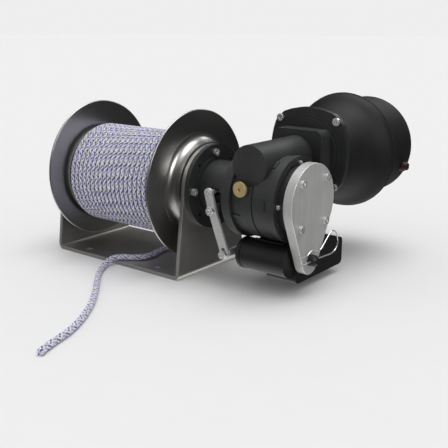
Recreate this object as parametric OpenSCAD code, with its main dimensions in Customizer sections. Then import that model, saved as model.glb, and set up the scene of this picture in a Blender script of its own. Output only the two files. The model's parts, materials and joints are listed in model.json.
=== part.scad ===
// Drum anchor windlass: worm-geared, electric, with a remote free-fall cone clutch.
// Origin: centre of the cradle's underside. +X runs along the drum shaft to the gearbox,
// +Y to the motor and +Z up.

/* [Cradle] */
// Outside width of the folded cradle, along the drum shaft
cradle_w = 240; // [238:1:242]
// Front-to-back depth of the base plate
cradle_d = 140; // [130:1:150]
// Thickness of the folded plate
plate_t = 5; // [4:0.5:5]
// Height of the drum shaft above the underside
axis_h = 117; // [116:0.5:120]
// Radius of the rounded top of each upright
upright_r = 56; // [54:0.5:58]
// Distance between the deck bolts, side to side
bolt_dx = 138; // [120:1:150]
// Distance between the deck bolts, front to back
bolt_dy = 110; // [90:1:116]
// Diameter of the deck bolt holes
bolt_hole_d = 8.5; // [6.5:0.5:10.5]

/* [Drum] */
// Radius of the drum flanges
flange_r = 100; // [90:1:101]
// Thickness of the drum flanges
flange_t = 3; // [2.5:0.5:3.5]
// Distance between the flanges' middle planes
flange_gap = 190; // [186:1:191]
// Outer radius of the barrel under the rope
barrel_r = 47; // [40:1:52]
// Outer radius of the wound rope
winding_r = 72; // [64:1:76]
// How far the slack winding hangs below the shaft's axis
winding_sag = 5; // [0:0.5:6]
// Diameter of the anchor rope
rope_d = 8; // [6:1:8]

/* [Drive] */
// Radius of the main shaft
shaft_r = 12.5; // [12:0.5:13]
// Teeth on the worm wheel
wheel_teeth = 33; // [33:1:33]
// Height of the worm above the drum shaft
worm_rise = 44.5; // [44.5:0.1:44.6]
// Distance of the worm from the cradle's middle
worm_x = 215; // [214:0.5:216]
// Travel of the clutch between driving and free fall
clutch_travel = 9; // [6:0.5:9]

/* [Motor] */
// Radius of the motor cover's rim
bell_r = 80.5; // [78:0.5:84]
// Radius of the motor's rear cover
rear_r = 71; // [62:0.5:72]
// Distance of the motor's rear end behind the drum shaft
motor_end_y = 269; // [262:1:274]

/* [Hidden] */
$fn = 64;

fit = 0.05;              // radial running clearance of every shaft in its bush
gap = 0.3;               // free space between bodies that do not touch
eps = 0.5;               // overlap that keeps a cut from ending on a face

half_w = cradle_w / 2;
half_d = cradle_d / 2;
fold_r = 8;
upright_in = half_w - plate_t;
idle_hole_r = 26;
clutch_hole_r = 40;

flange_in = flange_gap / 2 - flange_t / 2;
flange_out = flange_gap / 2 + flange_t / 2;
barrel_t = 3.5;
bush_r = 17;
hub_r = 58;
hub_fillet = 12;
hub_end = upright_in - 2;

// Friction cone of the clutch: radius of the drum's cup at a distance x
cone_mouth_x = hub_end - 1;
cone_mouth_r = 36.2;
cone_angle = 15;
cone_gap = 0.4;
lining_t = 2.5;
function cup_r(x) = cone_mouth_r - (cone_mouth_x - x) * tan(cone_angle);
cone_x0 = 98.4;
cone_x1 = cone_mouth_x + 1;

sleeve_r = 20;
collar_r = 29;
sleeve_end = 165;

neck_r = 36;
neck_bore_r = 31.5;
neck_end = 180;
ring_t = 6.5;
ring_step_r = 41;
ring_step_x = half_w + ring_t + 2.5;
housing_bolt_r = 46;

// Lever: the shift pin at the top, the pivot, and the actuator's link at the bottom
pin_p = [151, 119];
pivot_p = [157, 97];
link_p = [177.4, 43];
pin_r = 3.5;
lever_t = 4;
lever_y = -46;
lever_w = 12.5;

// Gearbox case along the drum shaft
case_x0 = neck_end;
disc_r = 56.2;
step_x = 193;
waist_r = 51.5;
band_x0 = 206;
band_r = 53.5;
seam_x = 224.5;
rim_x0 = 248;
case_x1 = 257;
case_r = 53;
case_bore_r = 41;
cover_x0 = 249.5;
cover_r = 49.8;
cover_x1 = 258;
pad_r = 44;

plug_p = [209, 133.5];
plug_y = -57.3;

worm_z = axis_h + worm_rise;
tube_r = 25.3;
tube_y0 = -45;
block_w = 74;
block_h = 66;
block_y0 = 58;
flange_y0 = 86;
flange_y1 = 94;
motor_bolt = 43;

// Worm gearing: module 2, single start, right-handed, pressure angle 20 degrees
module_mm = 2;
wheel_pitch_r = module_mm * wheel_teeth / 2;
worm_pitch_r = worm_rise - wheel_pitch_r;
tooth_add = 1.8;
tooth_ded = 2.4;
press_a = 20;
tooth_w = 2.6;
worm_root_r = worm_pitch_r - tooth_ded;
worm_tip_r = worm_pitch_r + tooth_add;
wheel_tip_r = wheel_pitch_r + tooth_add;
wheel_root_r = wheel_pitch_r - tooth_ded;
lead = PI * module_mm;
lead_a = atan(lead / (2 * PI * worm_pitch_r));
wheel_w = 16;

// Motor
motor_p = [215, 151.5];
can_r = 38;
rim_y = 183;
boot_y = 237;
boot_drop = 24;

// Plate that carries the actuator, a circle joined to a smaller one at its tip
plate_x0 = 267;
plate_x1 = 279;
drop_r = 48.5;
tip_p = [-3, 44];
tip_r = 17.5;
plate_screw = 27.5;

// Actuator
act_y = -20;
act_z = link_p[1];
act_r = 20.2;
act_x0 = 189.5;
act_x1 = 263;
rod_r = 4;
box_x0 = 221;
box_x1 = 265;
box_y0 = -14;
box_y1 = 101;
box_z0 = 12;
box_z1 = 50;
gear_p = [21, 40];
gear_r = 16.5;
gear_x0 = 189;
stud_p = [-3, 45];
stud_r = 7.2;
stud_x1 = 289.5;
clip_x = 283;
clip_wire_r = 0.9;

// Route of the free rope: off the winding, over the base plate's front edge, along the deck
tail_floor = rope_d / 2 + 0.1;
tail_deck = plate_t + rope_d / 2 + gap;
tail_route = [
    [84, -2, 35.5], [84, 12, 35], [82, 27, 33], [77, 40, 29], [68, 48.5, 24],
    [56, 51, 18], [45, 47, 13.5], [36, 39, 10.4], [29, 27, tail_deck], [26, 14, tail_deck],
    [26, 1, tail_deck], [28, -11, tail_deck], [31, -21, tail_deck], [32.5, -31, tail_deck],
    [31, -41, tail_deck], [25.5, -49, tail_deck], [17.5, -55, tail_deck], [9, -60, tail_deck],
    [3, -67, tail_deck], [0, -75, 8.9], [0, -84, 6.7], [4, -94, 4.6], [11, -106, tail_floor],
    [22, -120, tail_floor], [35, -134, tail_floor], [64, -163, tail_floor],
    [92, -194, tail_floor], [113, -222, tail_floor], [128, -246, tail_floor],
    [139, -268, tail_floor], [146, -289, tail_floor], [152, -308, tail_floor],
    [158, -323, tail_floor],
];

// ---------------------------------------------------------------- helpers

// Places children drawn along Z so that they run along X from x, about the drum shaft
module along_x(x = 0) {
    translate([x, 0, axis_h]) rotate([0, 90, 0]) children();
}

// Runs children drawn along Z along +X from a point
module x_from(p) {
    translate(p) rotate([0, 90, 0]) children();
}

// Runs children drawn along Z along +Y from a point
module y_from(p) {
    translate(p) rotate([-90, 0, 0]) children();
}

// Tube along X about the drum shaft
module ring_x(x0, x1, r_out, r_in) {
    along_x(x0) difference() {
        cylinder(h = x1 - x0, r = r_out);
        translate([0, 0, -eps]) cylinder(h = x1 - x0 + 2 * eps, r = r_in);
    }
}

// Tube along Y about the point p = [x, z]
module ring_y(p, y0, y1, r_out, r_in) {
    y_from([p[0], y0, p[1]]) difference() {
        cylinder(h = y1 - y0, r = r_out);
        translate([0, 0, -eps]) cylinder(h = y1 - y0 + 2 * eps, r = r_in);
    }
}

module disc_x(x0, x1, r) {
    along_x(x0) cylinder(h = x1 - x0, r = r);
}

module disc_y(p, y0, y1, r) {
    y_from([p[0], y0, p[1]]) cylinder(h = y1 - y0, r = r);
}

// Children repeated n times about the drum shaft, the first at angle a0 from +Y
module around_x(n, a0 = 0) {
    for (i = [0:n - 1]) {
        translate([0, 0, axis_h]) rotate([a0 + i * 360 / n, 0, 0]) children();
    }
}

// Flat bar with round ends between two points, of width w
module bar_2d(p, q, w) {
    len = norm(q - p);
    ang = atan2(q[1] - p[1], q[0] - p[0]);
    translate(p) circle(d = w);
    translate(q) circle(d = w);
    translate(p) rotate(ang) translate([0, -w / 2]) square([len, w]);
}

// Square with four round corners, centred
module round_square(w, h, r) {
    square([w - 2 * r, h], center = true);
    square([w, h - 2 * r], center = true);
    for (sx = [-1, 1], sy = [-1, 1]) {
        translate([sx * (w / 2 - r), sy * (h / 2 - r)]) circle(r);
    }
}

// Point where the tangent from p touches a circle, on the side given by s
function tangent_point(c, r, p, s) =
    let (d = norm(p - c), a = atan2(p[1] - c[1], p[0] - c[0]) + s * acos(r / d))
    c + r * [cos(a), sin(a)];

// Drawing in X and Z, extruded from y to y + h
module front_plate(y, h) {
    translate([0, y + h, 0]) rotate([90, 0, 0]) linear_extrude(height = h) children();
}

// Drawing in Y and Z, extruded from x to x + h
module side_plate(x, h) {
    translate([x, 0, 0]) rotate([90, 0, 90]) linear_extrude(height = h) children();
}

// Socket-head screw along Z: its head stands on z = 0 and its shank goes down
module cap_screw(head_r, head_h, shank_r, shank_l, socket_r) {
    difference() {
        cylinder(h = head_h, r = head_r);
        translate([0, 0, head_h * 0.45]) cylinder(h = head_h, r = socket_r, $fn = 6);
    }
    translate([0, 0, -shank_l]) cylinder(h = shank_l + 0.1, r = shank_r);
}

// ---------------------------------------------------------------- cradle and idle side

module cradle_section() {
    difference() {
        translate([0, 110]) round_square(cradle_w, 220, fold_r);
        translate([0, plate_t + 110]) {
            round_square(cradle_w - 2 * plate_t, 220, fold_r - plate_t);
        }
    }
}

module upright_outline() {
    c = [0, axis_h];
    foot = 11;
    right = tangent_point(c, upright_r, [half_d, foot], 1);
    left = tangent_point(c, upright_r, [-half_d, foot], -1);
    translate(c) circle(upright_r, $fn = 128);
    polygon([
        [-half_d, -1], [half_d, -1], [half_d, foot], right, [0, axis_h], left,
        [-half_d, foot],
    ]);
}

module cradle() {
    color("silver") difference() {
        intersection() {
            front_plate(-half_d, cradle_d) cradle_section();
            side_plate(-half_w - 1, cradle_w + 2) upright_outline();
        }
        disc_x(upright_in - 1, half_w + 1, clutch_hole_r);
        disc_x(-half_w - 1, -upright_in + 1, idle_hole_r);
        for (sx = [-1, 1], sy = [-1, 1]) {
            translate([sx * bolt_dx / 2, sy * bolt_dy / 2, -1]) {
                cylinder(h = plate_t + 2, d = bolt_hole_d);
            }
        }
        around_x(4) translate([upright_in - 1, housing_bolt_r, 0]) rotate([0, 90, 0]) {
            cylinder(h = plate_t + 2, r = 3);
        }
        around_x(4, 45) translate([-half_w - 1, 36, 0]) rotate([0, 90, 0]) {
            cylinder(h = plate_t + 2, r = 3);
        }
    }
}

module idle_housing() {
    color("#202224") difference() {
        union() {
            disc_x(-half_w - 5, -half_w, 45);
            disc_x(-half_w - 16, -half_w - 4, 27);
            disc_x(-half_w - 1, -upright_in, idle_hole_r - 0.1);
        }
        disc_x(-half_w - 17, -upright_in + 1, bush_r);
        around_x(4, 45) translate([-half_w - 6, 36, 0]) rotate([0, 90, 0]) {
            cylinder(h = 7, r = 3);
        }
    }
}

module idle_bush() {
    color("peru") ring_x(-half_w - 15, -upright_in, bush_r, shaft_r + fit);
}

module idle_cap() {
    color("#2a2c2e") along_x(-half_w - 21) {
        cylinder(h = 1.5, r1 = 24, r2 = 26);
        translate([0, 0, 1.5]) cylinder(h = 3.5, r = 26);
    }
}

module idle_bolts() {
    color("gainsboro") around_x(4, 45) translate([-half_w - 5, 36, 0]) {
        rotate([0, -90, 0]) cap_screw(5, 4.5, 2.9, 13, 2.5);
    }
}

// ---------------------------------------------------------------- drum

module drum_barrel() {
    color("silver") ring_x(-flange_in, flange_in, barrel_r, barrel_r - barrel_t);
}

// Flange with a rolled rim; its middle plane is at x and its boss points along s
module drum_flange(x, s, boss_l) {
    rim = flange_t / 2;
    translate([x, 0, axis_h]) rotate([0, 90, 0]) rotate_extrude($fn = 128) {
        translate([bush_r, -rim]) square([flange_r - rim - bush_r, flange_t]);
        translate([flange_r - rim, 0]) circle(rim, $fn = 32);
        translate([bush_r, s > 0 ? 0 : -boss_l]) square([7, boss_l]);
    }
}

module drum_flange_left() {
    color("lightgray") {
        drum_flange(-flange_gap / 2, 1, 16);
        ring_x(-flange_out - 6, -flange_out + 0.5, bush_r + 7, bush_r);
    }
}

module drum_flange_right() {
    color("lightgray") drum_flange(flange_gap / 2, -1, 16);
}

// Flared hub between the right flange and the upright
module drum_hub_shell() {
    t = 3;
    color("silver") along_x(0) rotate_extrude($fn = 128) difference() {
        union() {
            translate([hub_r - t, flange_out]) square([t, hub_end - flange_out]);
            translate([hub_r - t, flange_out]) square([hub_fillet + t, hub_fillet]);
        }
        translate([hub_r + hub_fillet, flange_out + hub_fillet + 0.4]) circle(hub_fillet);
    }
}

// Female half of the friction clutch
module clutch_cup() {
    color("dimgray") along_x(0) rotate_extrude($fn = 96) polygon([
        [26, flange_out], [hub_r - 3, flange_out], [hub_r - 3, flange_out + 4],
        [41, flange_out + 4], [41, cone_mouth_x], [cup_r(cone_mouth_x), cone_mouth_x],
        [cup_r(97.6), 97.6], [26, 97.6],
    ]);
}

module drum_bushes() {
    color("peru") {
        ring_x(-flange_out - 6, -flange_in + 14, bush_r, shaft_r + fit);
        ring_x(flange_in - 14, flange_out, bush_r, shaft_r + fit);
    }
}

module wound_rope() {
    turns = floor(2 * flange_in / rope_d);
    width = 2 * (flange_in - gap);
    pitch = width / turns;
    color("lavender") difference() {
        translate([0, 0, -winding_sag]) along_x(-flange_in + gap) rotate_extrude($fn = 96) {
            square([winding_r - rope_d / 2, width]);
            for (i = [0:turns - 1]) {
                translate([winding_r - rope_d / 2, (i + 0.5) * pitch]) {
                    circle(rope_d / 2, $fn = 24);
                }
                translate([winding_r - rope_d / 2 - 0.1, i * pitch]) square([1.6, pitch]);
            }
        }
        disc_x(-flange_in - 1, flange_in + 1, barrel_r + 0.1);
    }
}

// Point at parameter t on the smooth curve through q[0], q[1], q[2], q[3]
function spline(q, t) =
    0.5 * (2 * q[1] + (q[2] - q[0]) * t
    + (2 * q[0] - 5 * q[1] + 4 * q[2] - q[3]) * t * t
    + (3 * q[1] - 3 * q[2] + q[3] - q[0]) * t * t * t);
function clamp_at(route, i) = route[max(0, min(len(route) - 1, i))];
function smooth(route, steps) = [
    for (i = [0:len(route) - 2], k = [0:steps - 1])
        spline([for (j = [-1:2]) clamp_at(route, i + j)], k / steps),
    route[len(route) - 1],
];
function unit(v) = v / norm(v);
function heading(pts, i) =
    unit(pts[min(i + 1, len(pts) - 1)] - pts[max(i - 1, 0)]);

// Round tube of n sides swept along pts; up is never parallel to the route
module sweep(pts, r, n, up) {
    last = len(pts) - 1;
    points = [
        for (i = [0:last])
            let (t = heading(pts, i), a = unit(cross(t, up)), b = cross(a, t))
            for (k = [0:n - 1])
                pts[i] + r * (cos(360 * k / n) * a + sin(360 * k / n) * b),
    ];
    faces = [
        [for (k = [0:n - 1]) k],
        for (i = [0:last - 1], k = [0:n - 1])
            [i * n + k, (i + 1) * n + k, (i + 1) * n + (k + 1) % n, i * n + (k + 1) % n],
        [for (k = [n - 1:-1:0]) last * n + k],
    ];
    polyhedron(points = points, faces = faces, convexity = 6);
}

module rope_tail() {
    color("lavender") sweep(smooth(tail_route, 2), rope_d / 2, 10, [0.01, 0.02, 1]);
}

// ---------------------------------------------------------------- shaft, clutch and wheel

key_w = 6;
clutch_key_x = [130, 174];
wheel_key_x = [worm_x - 9, worm_x + 9];
key_low = shaft_r - 3.5;
key_top = shaft_r + 2.5;

module key_box(xs, w, low, top) {
    translate([xs[0], -w / 2, axis_h + low]) cube([xs[1] - xs[0], w, top - low]);
}

module main_shaft() {
    color("lightsteelblue") difference() {
        disc_x(-half_w - 14, 262, shaft_r);
        key_box(clutch_key_x, key_w, key_low, key_top + 1);
        key_box(wheel_key_x, key_w, key_low, key_top + 1);
        ring_x(-flange_out - 8.6, -flange_out - 7.2, shaft_r + 1, shaft_r - 0.8);
        ring_x(258.5, 260, shaft_r + 1, shaft_r - 0.8);
    }
}

module shaft_circlips() {
    color("gray") {
        ring_x(-flange_out - 8.6, -flange_out - 7.2, shaft_r + 3, shaft_r - 0.8);
        ring_x(258.5, 260, shaft_r + 3, shaft_r - 0.8);
    }
}

module shaft_keys() {
    color("gray") {
        key_box(clutch_key_x, key_w, key_low, key_top);
        key_box(wheel_key_x, key_w, key_low, key_top);
    }
}

// Involute tooth outline from the root to the tip, on the +X side of the wheel's centre
base_r = wheel_pitch_r * cos(press_a);
function inv(a) = tan(a) * 180 / PI - a;
half_tooth_a = tooth_w / wheel_pitch_r / 2 * 180 / PI;
function flank_a(r) =
    half_tooth_a + inv(press_a) - inv(acos(min(1, base_r / r)));
flank_steps = [0:4];
function flank_r(i) = base_r + 0.02 + (wheel_tip_r - base_r - 0.02) * i / 4;
function tooth_points() = [
    [wheel_root_r - 1, -sin(flank_a(flank_r(0))) * wheel_root_r],
    for (i = flank_steps) flank_r(i) * [cos(flank_a(flank_r(i))), -sin(flank_a(flank_r(i)))],
    for (i = flank_steps)
        flank_r(4 - i) * [cos(flank_a(flank_r(4 - i))), sin(flank_a(flank_r(4 - i)))],
    [wheel_root_r - 1, sin(flank_a(flank_r(0))) * wheel_root_r],
];

// One tooth, leaning by the worm's lead angle
module wheel_tooth() {
    rotate([-lead_a, 0, 0]) translate([0, 0, -wheel_w / 2]) {
        linear_extrude(height = wheel_w) polygon(tooth_points());
    }
}

module worm_wheel() {
    color("darkgoldenrod") difference() {
        translate([worm_x, 0, axis_h]) rotate([0, 90, 0]) {
            intersection() {
                union() {
                    cylinder(h = wheel_w, r = wheel_root_r, center = true);
                    for (i = [0:wheel_teeth - 1]) {
                        rotate(i * 360 / wheel_teeth) wheel_tooth();
                    }
                }
                cylinder(h = wheel_w, r = wheel_tip_r + 1, center = true);
            }
            cylinder(h = wheel_w + 8, r = 21, center = true);
        }
        disc_x(worm_x - 20, worm_x + 20, shaft_r);
        key_box([worm_x - 20, worm_x + 20], key_w, 0, key_top);
    }
}

// Male half of the clutch: the cone's core and the sleeve that the lever shifts
module clutch_cone() {
    color("gray") difference() {
        along_x(0) rotate_extrude($fn = 96) polygon([
            [shaft_r + fit, cone_x0], [cup_r(cone_x0) - cone_gap - lining_t, cone_x0],
            [cup_r(cone_x1) - cone_gap - lining_t, cone_x1], [sleeve_r, cone_x1 + 4],
            [sleeve_r, 142], [collar_r, 142], [collar_r, 147.1], [sleeve_r + 1, 147.1],
            [sleeve_r + 1, 154.9], [collar_r, 154.9], [collar_r, 160], [sleeve_r, 160],
            [sleeve_r, sleeve_end], [shaft_r + fit, sleeve_end],
        ]);
        key_box([cone_x0 - 1, sleeve_end + 1], key_w + 0.2, 0, key_top + fit);
    }
}

module clutch_lining() {
    color("saddlebrown") along_x(0) rotate_extrude($fn = 96) polygon([
        [cup_r(cone_x0) - cone_gap - lining_t, cone_x0], [cup_r(cone_x0) - cone_gap, cone_x0],
        [cup_r(cone_x1) - cone_gap, cone_x1], [cup_r(cone_x1) - cone_gap - lining_t, cone_x1],
    ]);
}

module clutch_housing() {
    slot_h = 9;
    lug_y0 = lever_y + lever_t + gap;
    color("#1d1f20") difference() {
        union() {
            disc_x(half_w, half_w + ring_t, upright_r);
            disc_x(upright_in + 0.2, half_w + 1, clutch_hole_r - 0.1);
            disc_x(half_w + ring_t - 1, ring_step_x, ring_step_r);
            disc_x(half_w, neck_end, neck_r);
            // lug that carries the lever's pivot
            translate([148, lug_y0, 87]) cube([18, -20 - lug_y0, 19]);
        }
        disc_x(upright_in - 1, half_w + 5, 37.5);
        disc_x(half_w, neck_end + 1, neck_bore_r);
        // slot for the shift pin
        front_plate(-50, 50) bar_2d([150, pin_p[1] + 0.4], [160, pin_p[1] + 0.4], slot_h);
        disc_y(pivot_p, -60, -27, 3);
        // dimple of the lug's set screw
        x_from([164.5, -31, 100]) cylinder(h = 3, r = 2.2);
        around_x(4) translate([half_w - 1, housing_bolt_r, 0]) rotate([0, 90, 0]) {
            cylinder(h = ring_t + 3, r = 3);
        }
        around_x(4, 45) translate([half_w + 1, housing_bolt_r, 0]) rotate([0, 90, 0]) {
            cylinder(h = ring_t, r = 2.2);
        }
    }
}

module housing_bolts() {
    color("gainsboro") around_x(4) translate([half_w + ring_t, housing_bolt_r, 0]) {
        rotate([0, 90, 0]) cap_screw(4.6, 4, 2.9, 9.5, 2.3);
    }
}

// ---------------------------------------------------------------- lever and its pins

module lever() {
    arm = unit(link_p - pivot_p);
    color("whitesmoke") front_plate(lever_y, lever_t) difference() {
        union() {
            bar_2d(pin_p, pivot_p, lever_w);
            bar_2d(pivot_p, link_p, lever_w);
        }
        translate(pin_p) circle(2.5);
        translate(pivot_p) circle(4 + fit);
        // the link's slot takes up the arc of the lever's foot
        bar_2d(link_p - 4.6 * arm, link_p + 0.8 * arm, 7.4);
    }
}

module shift_pin() {
    color("silver") {
        disc_y(pin_p, lever_y + lever_t, -23.5, pin_r);
        disc_y(pin_p, lever_y - 0.4, lever_y + lever_t + 1, 2.5);
        y_from([pin_p[0], lever_y - 0.8, pin_p[1]]) difference() {
            cylinder(h = 0.8, r = 3.6);
            translate([0, 0, -0.2]) cylinder(h = 0.7, r = 1.6, $fn = 6);
        }
    }
}

module pivot_stud() {
    color("silver") {
        disc_y(pivot_p, lever_y - 8, -27.5, 3);
        disc_y(pivot_p, lever_y - gap, lever_y + lever_t + gap, 4);
    }
}

// Hexagon nut along Y, with a hole of radius r
module nut_y(p, y0, y1, across, r) {
    y_from([p[0], y0, p[1]]) difference() {
        cylinder(h = y1 - y0, r = across / sqrt(3), $fn = 6);
        translate([0, 0, -eps]) cylinder(h = y1 - y0 + 2 * eps, r = r);
    }
}

module pivot_nut() {
    color("lightgray") nut_y(pivot_p, lever_y - 5.8, lever_y - gap, 10.5, 3);
}

module link_stud() {
    color("silver") disc_y(link_p, lever_y - 8, act_y + 7, 3);
}

module link_nut() {
    color("lightgray") nut_y(link_p, lever_y - 5.8, lever_y - gap, 10.5, 3);
}

// ---------------------------------------------------------------- gearbox

module gearbox_case() {
    block_z0 = worm_z - block_h / 2;
    color("#1b1d1e") difference() {
        union() {
            disc_x(case_x0, step_x, disc_r);
            disc_x(step_x - 1, band_x0 + 1, waist_r);
            disc_x(band_x0, seam_x - 0.7, band_r);
            disc_x(seam_x - 1, seam_x + 1, band_r - 1.8);
            disc_x(seam_x + 0.7, case_x1, case_r);
            disc_x(rim_x0, case_x1, case_r + 1.5);
            // worm tube and the block that carries the motor
            disc_y([worm_x, worm_z], tube_y0 + 4, flange_y0, tube_r);
            translate([worm_x, 0, worm_z]) rotate([-90, 0, 0]) {
                translate([0, 0, block_y0]) linear_extrude(height = flange_y0 - block_y0) {
                    round_square(block_w, block_h, 9);
                }
            }
            // saddle between the tube and the wheel case
            translate([worm_x - tube_r, -34, axis_h]) cube([2 * tube_r, 80, worm_rise]);
            // vertical ribs in the waist
            around_x(8, 22.5) translate([step_x - 1, 0, -2]) {
                cube([band_x0 - step_x + 2, band_r - 0.5, 4]);
            }
            // cast pads on the right half
            around_x(6, 180) translate([seam_x + 6, case_r - 2, -6]) cube([13, 3, 12]);
            // boss for the oil plug
            disc_y(plug_p, plug_y + 4, -30, 11);
        }
        disc_x(step_x + 2, case_x1 + 1, case_bore_r);
        disc_x(cover_x0, case_x1 + 1, cover_r + 0.1);
        disc_x(case_x0 - 1, case_x0 + 5, 17);
        disc_x(case_x0 + 4, step_x + 3, 26);
        disc_y([worm_x, worm_z], tube_y0, flange_y0 + 1, 16.5);
        disc_y(plug_p, plug_y - 1, plug_y + 11, 5);
        disc_y([worm_x, worm_z], tube_y0 - 20, tube_y0 + 4, tube_r + 0.05);
    }
}

module gearbox_cover() {
    color("#141516") difference() {
        union() {
            disc_x(cover_x0, cover_x1, cover_r);
            disc_x(cover_x1 - 1, plate_x0, pad_r);
        }
        disc_x(cover_x0 - 1, plate_x0 - 2.5, shaft_r + 3.5);
        around_x(4) translate([cover_x0 + 2, 47, 0]) rotate([0, 90, 0]) {
            cylinder(h = 12, r = 2);
        }
        around_x(8, 22.5) translate([cover_x1 - 2, 47, 0]) rotate([0, 90, 0]) {
            cylinder(h = 12, r = 1.8);
        }
        around_x(4, 45) translate([cover_x1, plate_screw * sqrt(2), 0]) rotate([0, 90, 0]) {
            cylinder(h = 12, r = 2.9);
        }
    }
}

module cover_screws() {
    color("gainsboro") around_x(4) translate([cover_x1, 47, 0]) {
        rotate([0, 90, 0]) cap_screw(2.7, 3, 1.9, 6, 1.4);
    }
}

module gear_bearings() {
    color("lightsteelblue") {
        ring_x(case_x0 + 4, step_x + 2, 26, shaft_r + fit);
        ring_x(cover_x0 - 8, cover_x0, case_bore_r, shaft_r + fit);
    }
}

module shaft_seal() {
    color("black") ring_x(case_x0 + 0.2, case_x0 + 4, 17, shaft_r + fit);
}

module worm_end_cap() {
    color("#1d1f20") difference() {
        disc_y([worm_x, worm_z], tube_y0, tube_y0 + 4, tube_r);
        translate([worm_x - 16, tube_y0 - 1, worm_z - 16]) cube([32, 1.6, 32]);
    }
}

module oil_plug() {
    color("gold") y_from([plug_p[0], plug_y, plug_p[1]]) difference() {
        union() {
            cylinder(h = 4, r = 9.5);
            translate([0, 0, 3]) cylinder(h = 7.5, r = 4.9);
        }
        translate([0, 0, -1]) cylinder(h = 4, r = 3, $fn = 6);
    }
}

// Thread of the worm: a trapezoid swept along a helix, its valley closed by the root
module worm_thread(turns, n) {
    steps = turns * n;
    tip_w = tooth_w - 2 * tooth_add * tan(press_a);
    root_w = tooth_w + 2 * tooth_ded * tan(press_a);
    points = [
        for (i = [0:steps])
            let (a = 360 * i / n, z = lead * i / n)
            for (c = [
                [worm_root_r - 0.6, root_w / 2], [worm_tip_r, tip_w / 2],
                [worm_tip_r, -tip_w / 2], [worm_root_r - 0.6, -root_w / 2],
            ])
                [c[0] * cos(a), c[0] * sin(a), z + c[1]],
    ];
    faces = [
        [0, 1, 2, 3],
        for (i = [0:steps - 1], k = [0:3])
            [i * 4 + k, (i + 1) * 4 + k, (i + 1) * 4 + (k + 1) % 4, i * 4 + (k + 1) % 4],
        [for (k = [3:-1:0]) steps * 4 + k],
    ];
    polyhedron(points = points, faces = faces, convexity = 10);
}

worm_turns = 6;
module worm_shaft() {
    color("lightsteelblue") {
        y_from([worm_x, -(worm_turns / 2 + 0.25) * lead, worm_z]) worm_thread(worm_turns, 24);
        disc_y([worm_x, worm_z], -26, 26, worm_root_r);
        disc_y([worm_x, worm_z], -38, 70, 7.5);
    }
}

module worm_bearings() {
    color("lightsteelblue") {
        ring_y([worm_x, worm_z], -37, -27, 16.5, 7.5 + fit);
        ring_y([worm_x, worm_z], 27, 37, 16.5, 7.5 + fit);
    }
}

module motor_coupling() {
    color("gray") ring_y([worm_x, worm_z], 60, 82, 13, 7.5);
}

// ---------------------------------------------------------------- motor

// Square with bulging sides and blunted corners, half as wide as mid
module squircle(mid) {
    bulge_r = 105;
    intersection() {
        translate([mid - bulge_r, 0]) circle(bulge_r, $fn = 180);
        translate([bulge_r - mid, 0]) circle(bulge_r, $fn = 180);
        translate([0, mid - bulge_r]) circle(bulge_r, $fn = 180);
        translate([0, bulge_r - mid]) circle(bulge_r, $fn = 180);
        circle(mid + 5.5, $fn = 180);
    }
}

module flange_body(y0, y1, mid) {
    y_from([worm_x, y0, worm_z]) linear_extrude(height = y1 - y0) squircle(mid);
}

module motor_bolt_places(y) {
    for (sx = [-1, 1], sz = [-1, 1]) {
        translate([worm_x + sx * motor_bolt, y, worm_z + sz * motor_bolt]) {
            rotate([90, 0, 0]) children();
        }
    }
}

module motor_flange() {
    color("#1d1f20") difference() {
        union() {
            flange_body(flange_y0, flange_y1, 59);
            disc_y([worm_x, worm_z], flange_y0 - 2, flange_y0 + 1, 50);
            disc_y([worm_x, worm_z], flange_y0 - 4, flange_y0 + 1, 45);
        }
        disc_y([worm_x, worm_z], flange_y0 - 5, flange_y1 + 1, 16.5);
        y_from([worm_x, flange_y0 - 5, worm_z]) linear_extrude(height = 5) {
            round_square(block_w + 0.2, block_h + 0.2, 9);
        }
        motor_bolt_places(flange_y1 + 1) cylinder(h = 12, r = 3);
    }
}

module flange_gasket() {
    color("black") difference() {
        flange_body(flange_y1, flange_y1 + 1.5, 57.5);
        disc_y([worm_x, worm_z], flange_y1 - 1, flange_y1 + 3, 25);
        motor_bolt_places(flange_y1 + 3) cylinder(h = 12, r = 3);
    }
}

module flange_bolts() {
    color("gainsboro") motor_bolt_places(flange_y0) cap_screw(5, 4, 2.9, flange_y1 - flange_y0 + 1.4, 2.4);
}

can_y0 = flange_y1 + 1.5;
can_y1 = 226;
module motor_can() {
    color("dimgray") difference() {
        disc_y([worm_x, worm_z], can_y0, can_y1, can_r);
        disc_y([worm_x, worm_z], can_y0 + 5, can_y1 - 5, can_r - 4);
        disc_y([worm_x, worm_z], can_y0 - 1, can_y1 + 1, 7.5 + fit);
    }
}

module motor_magnets() {
    color("darkslategray") for (a = [45:90:315]) {
        y_from([worm_x, 116, worm_z]) rotate(a) rotate_extrude(angle = 62) {
            translate([28, 0]) square([can_r - 4.1 - 28, 72]);
        }
    }
}

module motor_armature() {
    color("sienna") {
        disc_y([worm_x, worm_z], 70, can_y1 - 1, 7.5);
        difference() {
            disc_y([worm_x, worm_z], 118, 186, 27);
            for (a = [0:30:330]) {
                y_from([worm_x, 117, worm_z]) rotate(a) {
                    translate([20, -1.5, 0]) cube([10, 3, 70]);
                }
            }
        }
    }
}

module commutator() {
    color("chocolate") ring_y([worm_x, worm_z], 194, 212, 14, 7.5);
}

module motor_brushes() {
    color("black") for (a = [45:90:315]) {
        y_from([worm_x, 198, worm_z]) rotate(a) {
            translate([14.3, -4, 0]) cube([can_r - 19, 8, 10]);
        }
    }
}

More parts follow.
